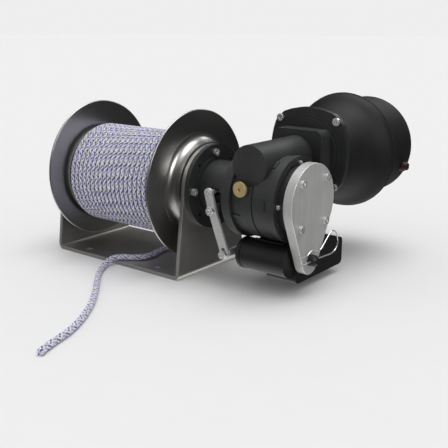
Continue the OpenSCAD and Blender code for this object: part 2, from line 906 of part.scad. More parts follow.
// Outline of the front cover, t inside its outer face: a neck that flares out to the rim
function bell_profile(y0, t) = [
    [0, y0], [50 - t, y0], [53 - t, y0 + 1], [55 - t, y0 + 4], [55.5 - t, y0 + 14],
    [56.5 - t, y0 + 26], [58.5 - t, y0 + 38], [61.5 - t, y0 + 49], [65.5 - t, y0 + 59],
    [70.5 - t, y0 + 67], [76 - t, y0 + 73], [bell_r - 1.2 - t, y0 + 77.5],
    [bell_r - t, rim_y - 6], [bell_r - t, rim_y + t], [0, rim_y + t],
];

// Flared front cover of the motor; its rim is the widest part of the machine
module bell_cover() {
    y0 = can_y0;
    t = 3;
    color("#191b1c") y_from([motor_p[0], 0, motor_p[1]]) rotate_extrude($fn = 128) {
        difference() {
            polygon(bell_profile(y0, 0));
            polygon(bell_profile(y0 + t, t));
            translate([0, y0 - 1]) square([48.5, t + 2]);
        }
    }
}

// Rear cover: a deep cup with a rounded end
module rear_cover() {
    t = 3;
    round_r = 16;
    color("#1c1e1f") y_from([motor_p[0], 0, motor_p[1]]) {
        rotate_extrude($fn = 128) difference() {
            union() {
                translate([0, rim_y]) square([rear_r, motor_end_y - round_r - rim_y]);
                translate([0, rim_y]) square([rear_r - round_r, motor_end_y - rim_y]);
                translate([rear_r - round_r, motor_end_y - round_r]) circle(round_r);
                translate([0, rim_y]) square([bell_r - 4, 3]);
            }
            translate([0, rim_y - 1]) {
                square([rear_r - t, motor_end_y - round_r - rim_y + 1]);
                square([rear_r - round_r, motor_end_y - t - rim_y + 1]);
            }
            translate([rear_r - round_r, motor_end_y - round_r]) circle(round_r - t);
        }
    }
}

// Rubber boot of a motor terminal, on the side given by s
module boot(s) {
    reach = sqrt(rear_r * rear_r - boot_drop * boot_drop) - 1;
    difference() {
        translate([motor_p[0] + s * reach, boot_y, motor_p[1] - boot_drop]) rotate([0, s * 90, 0]) {
            translate([0, 0, -4]) cylinder(h = 9, r = 7.5);
            translate([0, 0, 4.5]) cylinder(h = 6, r1 = 7, r2 = 5);
        }
        disc_y(motor_p, boot_y - 20, boot_y + 20, rear_r + 0.1);
    }
}

module boot_red() {
    color("darkred") boot(1);
}

module boot_black() {
    color("#101010") boot(-1);
}

// ---------------------------------------------------------------- actuator and its plate

// Part of the plate between its two round ends
module drop_sides() {
    c = [0, axis_h];
    d = norm(tip_p - c);
    a = atan2(tip_p[1] - c[1], tip_p[0] - c[0]);
    b = acos((drop_r - tip_r) / d);
    dirs = [[cos(a + b), sin(a + b)], [cos(a - b), sin(a - b)]];
    // the straight sides lie a hair inside the true tangents, so that they cross the arcs
    inset = 0.05;
    polygon([
        c + (drop_r - inset) * dirs[0], tip_p + (tip_r - inset) * dirs[0],
        tip_p + (tip_r - inset) * dirs[1], c + (drop_r - inset) * dirs[1],
    ]);
}

module anchor_plate() {
    color("whitesmoke") difference() {
        union() {
            disc_x(plate_x0, plate_x1, drop_r);
            x_from([plate_x0, tip_p[0], tip_p[1]]) cylinder(h = plate_x1 - plate_x0, r = tip_r);
            side_plate(plate_x0, plate_x1 - plate_x0) drop_sides();
        }
        x_from([plate_x0 - 1, stud_p[0], stud_p[1]]) cylinder(h = 14, r = stud_r + 0.3);
        around_x(4, 45) translate([plate_x0 - 1, plate_screw * sqrt(2), 0]) {
            rotate([0, 90, 0]) cylinder(h = 14, r = 3);
        }
    }
}

module plate_screws() {
    color("silver") around_x(4, 45) translate([plate_x1, plate_screw * sqrt(2), 0]) {
        rotate([0, 90, 0]) cap_screw(4.8, 4.2, 2.9, 20, 2.4);
    }
}

module actuator_cap() {
    color("#131415") difference() {
        x_from([act_x0, act_y, act_z]) {
            cylinder(h = 1.5, r1 = act_r - 1.2, r2 = act_r + 0.4);
            translate([0, 0, 1.5]) cylinder(h = 5, r = act_r + 0.4);
            translate([0, 0, 6]) cylinder(h = 2.5, r = act_r - 1);
            translate([0, 0, 8]) cylinder(h = 4, r = act_r + 0.2);
        }
        x_from([act_x0 - 1, act_y, act_z]) cylinder(h = 20, r = rod_r + fit);
    }
}

module actuator_tube() {
    color("#17191a") difference() {
        union() {
            x_from([act_x0 + 12, act_y, act_z]) cylinder(h = act_x1 - act_x0 - 12, r = act_r);
            translate([act_x0 + 18, act_y - 2, act_z + act_r - 1]) cube([44, 4, 2.5]);
        }
        x_from([act_x0 + 11, act_y, act_z]) cylinder(h = act_x1 - act_x0 - 15, r = act_r - 4);
        translate([box_x0 - gap, box_y0 - gap, box_z0 - 1]) {
            cube([box_x1 - box_x0 + 1, 60, box_z1 - box_z0 + 1 + gap]);
        }
    }
}

module actuator_rod() {
    color("gainsboro") {
        x_from([link_p[0] + 6, act_y, act_z]) cylinder(h = 245 - link_p[0] - 6, r = rod_r);
        x_from([236, act_y, act_z]) cylinder(h = 6, r = rod_r + 1.3);
    }
}

module rod_end() {
    color("silver") difference() {
        union() {
            disc_y(link_p, lever_y + lever_t + gap, act_y + 7, 6.5);
            x_from([link_p[0], act_y, act_z]) cylinder(h = 11, r = 5.8);
        }
        disc_y(link_p, -60, 0, 3);
        x_from([link_p[0] + 6, act_y, act_z]) cylinder(h = 12, r = rod_r);
    }
}

module box_outline() {
    translate([(box_y0 + box_y1) / 2, (box_z0 + box_z1) / 2]) {
        round_square(box_y1 - box_y0, box_z1 - box_z0, 7);
    }
}

module actuator_housing() {
    color("#17191a") difference() {
        union() {
            side_plate(box_x0, box_x1 - box_x0) box_outline();
            // end of the gear case, behind the tube
            x_from([gear_x0, gear_p[0], gear_p[1]]) {
                cylinder(h = 2, r1 = gear_r - 2, r2 = gear_r);
                translate([0, 0, 2]) cylinder(h = box_x0 - gear_x0 + 4, r = gear_r);
            }
        }
        disc_y([(box_x0 + box_x1) / 2, 31], 14, box_y1 - 4, 15);
        x_from([box_x1 - 8, stud_p[0], stud_p[1]]) cylinder(h = 12, r = 5);
    }
}

module actuator_motor() {
    color("gray") disc_y([(box_x0 + box_x1) / 2, 31], 14, box_y1 - 4, 15);
}

module actuator_stud() {
    color("#202020") difference() {
        x_from([box_x1, stud_p[0], stud_p[1]]) {
            translate([0, 0, -7.5]) cylinder(h = 8, r = 5);
            cylinder(h = stud_x1 - box_x1 - 3, r = stud_r);
            translate([0, 0, stud_x1 - box_x1 - 3]) cylinder(h = 3, r1 = stud_r, r2 = 4);
        }
        disc_y([clip_x, stud_p[1]], -30, 30, clip_wire_r + 0.08);
    }
}

// Spring clip, from the stud's axis: a straight leg through the stud, a loop, and a leg
// that arches over the stud and stays above it as the clip is pulled out
clip_route = [
    [0, -32, 0], [0, -20, 0], [0, -8, 0], [0, 4, 0], [0, 16, 0], [0, 28, -0.6],
    [0, 41, -1.4], [0, 51, 0], [0, 58, 5], [0, 59.5, 12.5], [0, 56, 21], [0, 50, 27],
    [0, 43, 28], [0, 36, 24.5], [0, 27, 17.5], [0, 19, 11.2], [0, 13, 9.4], [0, 7, 12.2],
    [0, 0, 13.8], [0, -7, 12.6], [0, -13, 9.8], [0, -20, 9.4], [0, -32, 12.6],
];
module r_clip() {
    place = [clip_x, stud_p[0], stud_p[1]];
    color("gainsboro") sweep(
        [for (p = smooth(clip_route, 2)) p + place], clip_wire_r, 8, [1, 0.01, 0.02]);
}

cradle();
idle_housing();
idle_bush();
idle_cap();
idle_bolts();
drum_barrel();
drum_flange_left();
drum_flange_right();
drum_hub_shell();
clutch_cup();
drum_bushes();
wound_rope();
rope_tail();
main_shaft();
shaft_circlips();
shaft_keys();
worm_wheel();
clutch_cone();
clutch_lining();
clutch_housing();
housing_bolts();
lever();
shift_pin();
pivot_stud();
pivot_nut();
link_stud();
link_nut();
gearbox_case();
gearbox_cover();
cover_screws();
gear_bearings();
shaft_seal();
worm_end_cap();
oil_plug();
worm_shaft();
worm_bearings();
motor_coupling();
motor_flange();
flange_gasket();
flange_bolts();
motor_can();
motor_magnets();
motor_armature();
commutator();
motor_brushes();
bell_cover();
rear_cover();
boot_red();
boot_black();
anchor_plate();
plate_screws();
actuator_cap();
actuator_tube();
actuator_rod();
rod_end();
actuator_housing();
actuator_motor();
actuator_stud();
r_clip();
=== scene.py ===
"""Looks of the drum anchor windlass: rope, steel, castings and studio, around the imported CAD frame."""

import json
import math

import bpy
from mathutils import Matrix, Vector


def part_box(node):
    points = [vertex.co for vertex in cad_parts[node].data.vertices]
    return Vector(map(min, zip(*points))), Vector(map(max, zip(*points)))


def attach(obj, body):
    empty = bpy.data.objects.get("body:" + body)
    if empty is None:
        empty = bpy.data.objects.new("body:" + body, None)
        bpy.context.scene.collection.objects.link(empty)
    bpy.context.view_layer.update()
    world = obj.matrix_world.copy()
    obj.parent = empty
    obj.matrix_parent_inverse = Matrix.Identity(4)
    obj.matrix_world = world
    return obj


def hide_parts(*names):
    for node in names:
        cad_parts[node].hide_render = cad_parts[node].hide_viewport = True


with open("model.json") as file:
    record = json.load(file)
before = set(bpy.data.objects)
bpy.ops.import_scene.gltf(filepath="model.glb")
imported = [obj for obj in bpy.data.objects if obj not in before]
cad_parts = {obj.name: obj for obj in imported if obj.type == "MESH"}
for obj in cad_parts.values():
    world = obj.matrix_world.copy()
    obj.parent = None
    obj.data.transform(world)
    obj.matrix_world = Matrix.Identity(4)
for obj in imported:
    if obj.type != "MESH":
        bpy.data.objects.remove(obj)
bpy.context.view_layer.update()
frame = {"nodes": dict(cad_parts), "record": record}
nodes = frame["nodes"]
scene = bpy.context.scene
MM = 0.001

# ---------------------------------------------------------------- shared

def add_mesh(name, verts, faces, smooth=False):
    """A new object in the scene with that mesh."""
    mesh = bpy.data.meshes.new(name)
    mesh.from_pydata(verts, [], faces)
    if smooth:
        mesh.polygons.foreach_set("use_smooth", [True] * len(faces))
    mesh.update()
    piece = bpy.data.objects.new(name, mesh)
    scene.collection.objects.link(piece)
    return piece


def aimed(place, target):
    """The rotation that points a camera or a light from place to target."""
    return (Vector(target) - Vector(place)).to_track_quat("-Z", "Y").to_euler()


# ---------------------------------------------------------------- camera

CAMERA_PLACE = Vector((0.7263, -0.7394, 0.3251))
CAMERA_TARGET = Vector((0.1407, 0.0, 0.0669))
CAMERA_LENS = 58.5


def make_camera():
    data = bpy.data.cameras.new("camera")
    data.lens = CAMERA_LENS
    data.clip_start, data.clip_end = 0.01, 100
    camera = bpy.data.objects.new("camera", data)
    camera.location = CAMERA_PLACE
    camera.rotation_euler = aimed(CAMERA_PLACE, CAMERA_TARGET)
    scene.collection.objects.link(camera)
    scene.camera = camera


# ---------------------------------------------------------------- rope

ROPE_R = 4 * MM
TAIL_FLOOR = 4.1            # height of the free rope's middle on the floor, in millimetres
TAIL_DECK = 9.3             # and on the base plate
# Centreline of the free rope in millimetres: off the winding, along the base plate, out over the floor
TAIL_ROUTE = [
    (84, -2, 35.5), (84, 12, 35), (82, 27, 33), (77, 40, 29), (68, 48.5, 24),
    (56, 51, 18), (45, 47, 13.5), (36, 39, 10.4), (29, 27, TAIL_DECK), (26, 14, TAIL_DECK),
    (26, 1, TAIL_DECK), (28, -11, TAIL_DECK), (31, -21, TAIL_DECK), (32.5, -31, TAIL_DECK),
    (31, -41, TAIL_DECK), (25.5, -49, TAIL_DECK), (17.5, -55, TAIL_DECK), (9, -60, TAIL_DECK),
    (3, -67, TAIL_DECK), (0, -75, 8.9), (0, -84, 6.7), (4, -94, 4.6), (11, -106, TAIL_FLOOR),
    (22, -120, TAIL_FLOOR), (35, -134, TAIL_FLOOR), (64, -163, TAIL_FLOOR),
    (92, -194, TAIL_FLOOR), (113, -222, TAIL_FLOOR), (128, -246, TAIL_FLOOR),
    (139, -268, TAIL_FLOOR), (146, -289, TAIL_FLOOR), (152, -308, TAIL_FLOOR),
    (158, -323, TAIL_FLOOR),
]
STRANDS = 10                # strands of the cover that lean each way
TRACERS_EVERY = 5           # strands from one coloured tracer to the next
CELL_L = 3.41 * MM          # length of rope over which two strands cross once
BRAID_RELIEF = 0.20 * MM
TAIL_SIDES = 24
WINDING_SIDES = 14
CORE_SIDES = 96
TAIL_STEP = 1.0 * MM        # length of the free rope from one ring of its mesh to the next
WINDING_STEP = 2.2 * MM
PATH_SKIP = 4               # rings of the free rope for each point of a coarser path that make_tail picks out and leaves unused
SPLINE_STEPS = 40           # pieces of the curve between two points of a route
CUT_SHRINK = 0.72           # a cut end's rim, against the rope's radius
CUT_RIM = 0.5 * MM          # how far the rim and the middle of a cut end stand out
CUT_MIDDLE = 0.6 * MM
STEP_START = 0.02           # share of a turn at which the rope starts to step over, and the share it takes
STEP_SHARE = 0.2


def smooth_path(points, step):
    """Catmull-Rom curve through the points, resampled every step metres."""
    dense = []
    for i in range(len(points) - 1):
        p0, p1 = points[max(i - 1, 0)], points[i]
        p2, p3 = points[i + 1], points[min(i + 2, len(points) - 1)]
        for k in range(SPLINE_STEPS):
            t = k / SPLINE_STEPS
            dense.append(
                0.5 * (2 * p1 + (p2 - p0) * t + (2 * p0 - 5 * p1 + 4 * p2 - p3) * t * t
                       + (3 * p1 - 3 * p2 + p3 - p0) * t ** 3)
            )
    dense.append(points[-1])
    total = path_length(dense)
    count = max(2, round(total / step))
    path, travelled, k = [dense[0]], 0.0, 0
    for n in range(1, count):
        want = total * n / count
        while travelled + (dense[k + 1] - dense[k]).length < want:
            travelled += (dense[k + 1] - dense[k]).length
            k += 1
        piece = dense[k + 1] - dense[k]
        path.append(dense[k] + piece * ((want - travelled) / piece.length))
    path.append(dense[-1])
    return path


def path_length(path):
    return sum((b - a).length for a, b in zip(path, path[1:]))


def strand_height(length, turn):
    """Height, 0 to 1, of the braid's surface at a length along the rope and a share of a turn round it."""
    a = length / CELL_L + STRANDS * turn
    b = length / CELL_L - STRANDS * turn
    return math.sqrt(abs(math.sin(math.pi * a) * math.sin(math.pi * b)))


def rope_mesh(name, path, sides, relief):
    """A braided tube along the path, with its length in u, in strand crossings, and a turn round it in v."""
    verts, faces, coords = [], [], []
    direction = (path[1] - path[0]).normalized()
    side = direction.orthogonal().normalized()
    length, lengths = 0.0, []
    for i, point in enumerate(path):
        ahead = path[min(i + 1, len(path) - 1)] - path[max(i - 1, 0)]
        turned = direction.rotation_difference(ahead.normalized())
        side = turned @ side
        direction = ahead.normalized()
        side = (side - direction * side.dot(direction)).normalized()
        across = direction.cross(side)
        if i:
            length += (point - path[i - 1]).length
        lengths.append(length)
        for k in range(sides):
            angle = math.tau * k / sides
            r = ROPE_R - relief * (1 - strand_height(length, k / sides))
            verts.append(point + r * (math.cos(angle) * side + math.sin(angle) * across))
    for i in range(len(path) - 1):
        for k in range(sides):
            j = (k + 1) % sides
            faces.append((i * sides + k, i * sides + j, (i + 1) * sides + j, (i + 1) * sides + k))
            u0, u1 = lengths[i] / CELL_L, lengths[i + 1] / CELL_L
            v0, v1 = k / sides, (k + 1) / sides
            coords += [(u0, v0), (u0, v1), (u1, v1), (u1, v0)]
    cap_rings(verts, faces, coords, path, sides, lengths[-1])
    piece = add_mesh(name, verts, faces, smooth=True)
    uv = piece.data.uv_layers.new(name="UVMap")
    for loop, value in zip(uv.data, coords):
        loop.uv = value
    return piece


def cap_rings(verts, faces, coords, path, sides, total):
    """Closes both ends of a tube with a shrunken ring and a middle point, as a cut and sealed end has."""
    for first, centre, out, u in (
        (0, path[0], path[0] - path[1], 0.0),
        ((len(path) - 1) * sides, path[-1], path[-1] - path[-2], total / CELL_L),
    ):
        out = out.normalized()
        ring = len(verts)
        for k in range(sides):
            verts.append(centre + (verts[first + k] - centre) * CUT_SHRINK + out * CUT_RIM)
        middle = len(verts)
        verts.append(centre + out * CUT_MIDDLE)
        for k in range(sides):
            j = (k + 1) % sides
            quad = (first + k, first + j, ring + j, ring + k)
            triangle = (ring + k, ring + j, middle)
            if first == 0:
                quad, triangle = quad[::-1], triangle[::-1]
            faces += [quad, triangle]
            coords += [(u, k / sides)] * (len(quad) + len(triangle))


def make_tail():
    path = smooth_path([Vector(p) * MM for p in TAIL_ROUTE], TAIL_STEP)
    tail = rope_mesh("rope_free_end", path, TAIL_SIDES, BRAID_RELIEF)
    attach(tail, "frame")
    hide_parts("rope_tail")
    coarse = path[::PATH_SKIP]
    if (len(path) - 1) % PATH_SKIP:
        coarse.append(path[-1])
    return tail


def make_winding():
    """The outer layer of rope: one helix as wide as the CAD winding, at its radius.

    Returned with it are the height of its axis, the radius of the rope's centreline and half its width.
    """
    low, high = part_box("wound_rope")
    radius = (high.y - low.y) / 2 - ROPE_R
    centre_z = (high.z + low.z) / 2
    start, end = low.x + ROPE_R, high.x - ROPE_R
    turns = round((end - start) / (2 * ROPE_R)) - 0.5
    pitch = (end - start) / turns
    count = int(turns * math.tau * radius / WINDING_STEP)
    path = []
    for i in range(count + 1):
        angle = math.tau * turns * i / count - math.pi / 2
        # each turn lies straight for most of the way round and steps over behind and below the drum
        share = turns * i / count
        whole = math.floor(share)
        part = share - whole
        stepped = min(1.0, max(0.0, (part - STEP_START) / STEP_SHARE))
        x = start + pitch * (whole + stepped * stepped * (3 - 2 * stepped))
        y, z = radius * math.cos(angle), centre_z + radius * math.sin(angle)
        path.append(Vector((min(x, end), y, z)))
    winding = rope_mesh("rope_winding", path, WINDING_SIDES, 0.0)
    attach(winding, "drum")
    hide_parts("wound_rope")
    return winding, (centre_z, radius, high.x)


def make_rope_core():
    """The layers of rope under the outer one, seen only between its turns, dark with the winding's painted
    gap shade.
    """
    low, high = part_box("wound_rope")
    outer = (high.y - low.y) / 2 - 1.25 * ROPE_R
    flange_low, flange_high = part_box("drum_flange_left")
    flange_z = (flange_low.z + flange_high.z) / 2
    barrel_low, barrel_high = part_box("drum_barrel")
    inner = (barrel_high.y - barrel_low.y) / 2 + 0.2 * MM
    verts, faces = [], []
    for x in (low.x, high.x):
        for r, z in ((outer, (high.z + low.z) / 2), (inner, flange_z)):
            for k in range(CORE_SIDES):
                a = math.tau * k / CORE_SIDES
                verts.append(Vector((x, r * math.cos(a), z + r * math.sin(a))))
    # the first vertex of the outer and the inner ring at each end
    o0, i0, o1, i1 = (n * CORE_SIDES for n in range(4))
    for k in range(CORE_SIDES):
        j = (k + 1) % CORE_SIDES
        faces += [(o0 + k, o1 + k, o1 + j, o0 + j), (i0 + j, i1 + j, i1 + k, i0 + k)]
        faces += [(i0 + k, o0 + k, o0 + j, i0 + j), (o1 + k, i1 + k, i1 + j, o1 + j)]
    core = add_mesh("rope_inner_layers", verts, faces)
    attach(core, "drum")
    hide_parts("wound_rope")
    return core


# ---------------------------------------------------------------- motor cover

BEAD_R = 1.8 * MM
BEAD_INSET = 1.0 * MM       # along the axis, from the rear cover's front to the bead's middle
BEAD_SINK = 0.7 * MM        # from the cover's outside in to the bead's middle
BEAD_AROUND, BEAD_ACROSS = 160, 14


def make_rim_bead():
    """The rolled edge of the motor's front cover, a ring about the cover's axis."""
    low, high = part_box("bell_cover")
    centre_x, centre_z = (low.x + high.x) / 2, (low.z + high.z) / 2
    radius = (high.x - low.x) / 2 - BEAD_SINK
    centre_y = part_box("rear_cover")[0].y - BEAD_INSET
    verts, faces = [], []
    for i in range(BEAD_AROUND):
        a = math.tau * i / BEAD_AROUND
        for k in range(BEAD_ACROSS):
            b = math.tau * k / BEAD_ACROSS
            r = radius + BEAD_R * math.cos(b)
            y = centre_y + BEAD_R * math.sin(b)
            verts.append(Vector((centre_x + r * math.cos(a), y, centre_z + r * math.sin(a))))
    for i in range(BEAD_AROUND):
        ring, next_ring = i * BEAD_ACROSS, (i + 1) % BEAD_AROUND * BEAD_ACROSS
        for k in range(BEAD_ACROSS):
            m = (k + 1) % BEAD_ACROSS
            faces.append((ring + k, ring + m, next_ring + m, next_ring + k))
    bead = add_mesh("bell_rim_bead", verts, faces, smooth=True)
    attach(bead, "frame")
    return bead


# ---------------------------------------------------------------- materials

class Shader:
    """A material around one Principled BSDF, with short calls that add nodes to it."""

    def __init__(self, name, **sockets):
        self.material = bpy.data.materials.new(name)
        self.material.use_nodes = True
        self.tree = self.material.node_tree
        self.bsdf = self.tree.nodes["Principled BSDF"]
        for socket, value in sockets.items():
            self.bsdf.inputs[socket.replace("_", " ")].default_value = value

    def add(self, kind, out=0, inputs=None, **settings):
        node = self.tree.nodes.new(kind)
        for key, value in settings.items():
            setattr(node, key, value)
        for key, value in (inputs or {}).items():
            self.link(value, node.inputs[key])
        return node.outputs[out]

    def link(self, value, socket):
        if isinstance(value, bpy.types.NodeSocket):
            self.tree.links.new(value, socket)
        else:
            socket.default_value = value

    def math(self, operation, a, b=0.0, c=0.0):
        return self.add("ShaderNodeMath", inputs={0: a, 1: b, 2: c}, operation=operation)

    def place(self, scale=(1, 1, 1)):
        """Object coordinates in metres, stretched by scale."""
        here = self.add("ShaderNodeTexCoord", out="Object")
        return self.add("ShaderNodeMapping", inputs={"Vector": here, "Scale": scale})

    def split(self, vector):
        """The X, Y and Z of a vector."""
        parts = self.tree.nodes.new("ShaderNodeSeparateXYZ")
        self.link(vector, parts.inputs[0])
        return parts.outputs

    def length(self, x, y):
        return self.math("SQRT", self.math("ADD", self.math("MULTIPLY", x, x), self.math("MULTIPLY", y, y)))

    def noise(self, vector, scale, detail=3.0, rough=0.55):
        return self.add(
            "ShaderNodeTexNoise", out="Fac",
            inputs={"Vector": vector, "Scale": scale, "Detail": detail, "Roughness": rough},
        )

    def spread(self, value, low, high, from_low=0.3, from_high=0.7):
        """The value's middle range, moved to low and high."""
        return self.add(
            "ShaderNodeMapRange", clamp=True,
            inputs={"Value": value, 1: from_low, 2: from_high, 3: low, 4: high},
        )

    def tint(self, value, dark, light):
        return self.add(
            "ShaderNodeMix", out=2, data_type="RGBA",
            inputs={0: value, 6: (*dark, 1), 7: (*light, 1)},
        )

    def mix(self, share, a, b):
        return self.add("ShaderNodeMix", out=2, data_type="RGBA", inputs={0: share, 6: a, 7: b})

    def set(self, socket, value):
        self.link(value, self.bsdf.inputs[socket])

    def bump(self, height, distance, strength):
        inputs = {"Height": height, "Distance": distance, "Strength": strength}
        self.set("Normal", self.add("ShaderNodeBump", inputs=inputs))


def brushed(name, dark, light, rough, lines, relief=0.03 * MM, metal=1.0):
    """Brushed metal. lines gives the vector whose fine axes run across the brush lines."""
    s = Shader(name, Metallic=metal)
    fine = s.noise(lines(s), 1.0, 5.0, 0.65)
    smear = s.noise(s.place(), 14.0, 4.0, 0.6)
    both = s.math("ADD", s.math("MULTIPLY", fine, 0.7), s.math("MULTIPLY", smear, 0.3))
    s.set("Base Color", s.tint(s.spread(both, 0, 1), dark, light))
    s.set("Roughness", s.spread(both, rough[0], rough[1]))
    s.bump(fine, relief, 0.5)
    return s.material


def lines_along_y(s):
    return s.place((900, 16, 900))


def lines_along_z(s):
    return s.place((700, 900, 14))


def lines_round_x(s, height):
    """Turned lines about an axis along X at that height."""
    here = s.split(s.add("ShaderNodeTexCoord", out="Object"))
    up, across = s.math("SUBTRACT", here["Z"], height), here["Y"]
    angle = s.math("ARCTAN2", up, across)
    return s.add(
        "ShaderNodeCombineXYZ",
        inputs={
            0: s.math("MULTIPLY", s.length(up, across), 800.0), 1: s.math("MULTIPLY", angle, 0.12),
            2: s.math("MULTIPLY", here["X"], 500.0),
        },
    )


def cast_paint(name, dark, light, rough, grain, relief, specular=0.45):
    """Painted or moulded surface with an even grain and faint blotches."""
    s = Shader(name, **{"Specular IOR Level": specular})
    here = s.place()
    coarse = s.noise(here, grain, 4.0, 0.6)
    fine = s.noise(here, grain * 3.3, 2.0, 0.5)
    blotch = s.noise(here, 22.0, 4.0, 0.6)
    s.set("Base Color", s.tint(s.spread(blotch, 0, 1), dark, light))
    mixed = s.math("ADD", s.math("MULTIPLY", blotch, 0.6), s.math("MULTIPLY", coarse, 0.4))
    s.set("Roughness", s.spread(mixed, rough[0], rough[1]))
    height = s.math("ADD", coarse, s.math("MULTIPLY", fine, 0.4))
    s.bump(height, relief, 0.6)
    return s.material


def bright_metal(name, dark, light, rough, grain=700.0, metal=1.0):
    """Plated or turned metal with faint handling marks."""
    s = Shader(name, Metallic=metal)
    here = s.place()
    marks = s.noise(here, grain, 3.0, 0.6)
    cloud = s.noise(here, 90.0, 3.0, 0.6)
    s.set("Base Color", s.tint(s.spread(cloud, 0, 1), dark, light))
    s.set("Roughness", s.spread(marks, rough[0], rough[1]))
    s.bump(marks, 0.02 * MM, 0.4)
    return s.material


TRACER_LILAC = (0.30, 0.26, 0.80, 1)
TRACER_BLUE = (0.03, 0.012, 0.36, 1)
LILAC_SHARE = 0.80


def painted_gap_shade(s, wound_on):
    """Painted shade in the gaps between a winding's turns: a factor from 0 to 1 that the braid's colour is
    multiplied by, lowest in the gaps.
    """
    axis_height, middle, half_width = wound_on
    place = s.split(s.add("ShaderNodeTexCoord", out="Object"))
    up = s.math("SUBTRACT", place["Z"], axis_height)
    radius = s.length(up, place["Y"])
    gap = s.spread(radius, 0.03, 1.0, middle + 0.16 * ROPE_R, middle + 0.72 * ROPE_R)
    # painted shade: the gaps are painted darker low on the winding, in the winding's own coordinates
    gap = s.math("POWER", gap, s.spread(up, 5.0, 1.0, -0.9 * middle, 0.1 * middle))
    # no painted gap shade on the outer sides of the first and the last turn, which stand free
    from_middle = s.math("ABSOLUTE", place["X"])
    inner, outer = half_width - 0.8 * ROPE_R, half_width - 0.4 * ROPE_R
    return s.math("MAXIMUM", gap, s.spread(from_middle, 0.0, 1.0, inner, outer))


def rope_material(name, wound_on=None):
    """A braided cover: two families of strands that cross, with coloured tracers in each.

    wound_on is the height of a winding's axis, the radius of its rope's centreline and half its width;
    the gaps between its turns then get painted shade, darker low on the winding.
    """
    s = Shader(name, Roughness=0.85)
    s.set("Sheen Weight", 0.25)
    along = s.split(s.add("ShaderNodeUVMap", uv_map="UVMap"))
    u, turn = along["X"], s.math("MULTIPLY", along["Y"], float(STRANDS))
    a, b = s.math("ADD", u, turn), s.math("SUBTRACT", u, turn)
    whole_a, whole_b = s.math("FLOOR", a), s.math("FLOOR", b)
    # 0 where a strand of the first family is on top, 1 where one of the second is
    over = s.math("FLOORED_MODULO", s.math("ADD", whole_a, whole_b), 2.0)
    wave_a = s.math("SINE", s.math("MULTIPLY", a, math.pi))
    wave_b = s.math("SINE", s.math("MULTIPLY", b, math.pi))
    pillow = s.math("SQRT", s.math("ABSOLUTE", s.math("MULTIPLY", wave_a, wave_b)))

    def on_top(value_a, value_b):
        """The value of the family that is on top."""
        return s.math("ADD", s.math("MULTIPLY", value_a, s.math("SUBTRACT", 1.0, over)),
                      s.math("MULTIPLY", value_b, over))

    def strand(number):
        """1 where that strand of every TRACERS_EVERY is on top."""
        is_a, is_b = (
            s.math("COMPARE", s.math("FLOORED_MODULO", whole, float(TRACERS_EVERY)), float(number), 0.1)
            for whole in (whole_a, whole_b)
        )
        return on_top(is_a, is_b)

    cell = s.add("ShaderNodeCombineXYZ", inputs={0: whole_a, 1: whole_b, 2: 0.0})
    lot = s.add("ShaderNodeTexWhiteNoise", out="Value", inputs={"Vector": cell}, noise_dimensions="3D")
    plain = s.tint(lot, (0.62, 0.62, 0.66), (1.0, 1.0, 0.99))
    crown = s.spread(pillow, 0.0, 1.0, 0.25, 0.50)
    lilac = s.mix(s.math("MULTIPLY", strand(2), s.math("MULTIPLY", crown, LILAC_SHARE)), plain, TRACER_LILAC)
    blue = s.mix(s.math("MULTIPLY", strand(0), crown), lilac, TRACER_BLUE)
    # fibres run along the strand on top, and painted shade darkens the hollows between strands
    fibre_vector = s.add(
        "ShaderNodeCombineXYZ",
        inputs={0: s.math("MULTIPLY", on_top(a, b), 9.0), 1: s.math("MULTIPLY", u, 0.6), 2: over},
    )
    fibre = s.noise(fibre_vector, 1.0, 2.0, 0.5)
    shade = s.math("MULTIPLY", s.spread(pillow, 0.30, 1.0, 0.05, 0.50), s.spread(fibre, 0.78, 1.12))
    # painted shade in the gaps between the winding's turns
    if wound_on:
        shade = s.math("MULTIPLY", shade, painted_gap_shade(s, wound_on))
    shaded = s.add(
        "ShaderNodeMix", out=2, data_type="RGBA", blend_type="MULTIPLY",
        inputs={0: 1.0, 6: blue, 7: s.add("ShaderNodeCombineColor", inputs={0: shade, 1: shade, 2: shade})},
    )
    s.set("Base Color", shaded)
    s.bump(s.math("ADD", pillow, s.math("MULTIPLY", fibre, 0.18)), 0.5 * MM, 0.8)
    return s.material


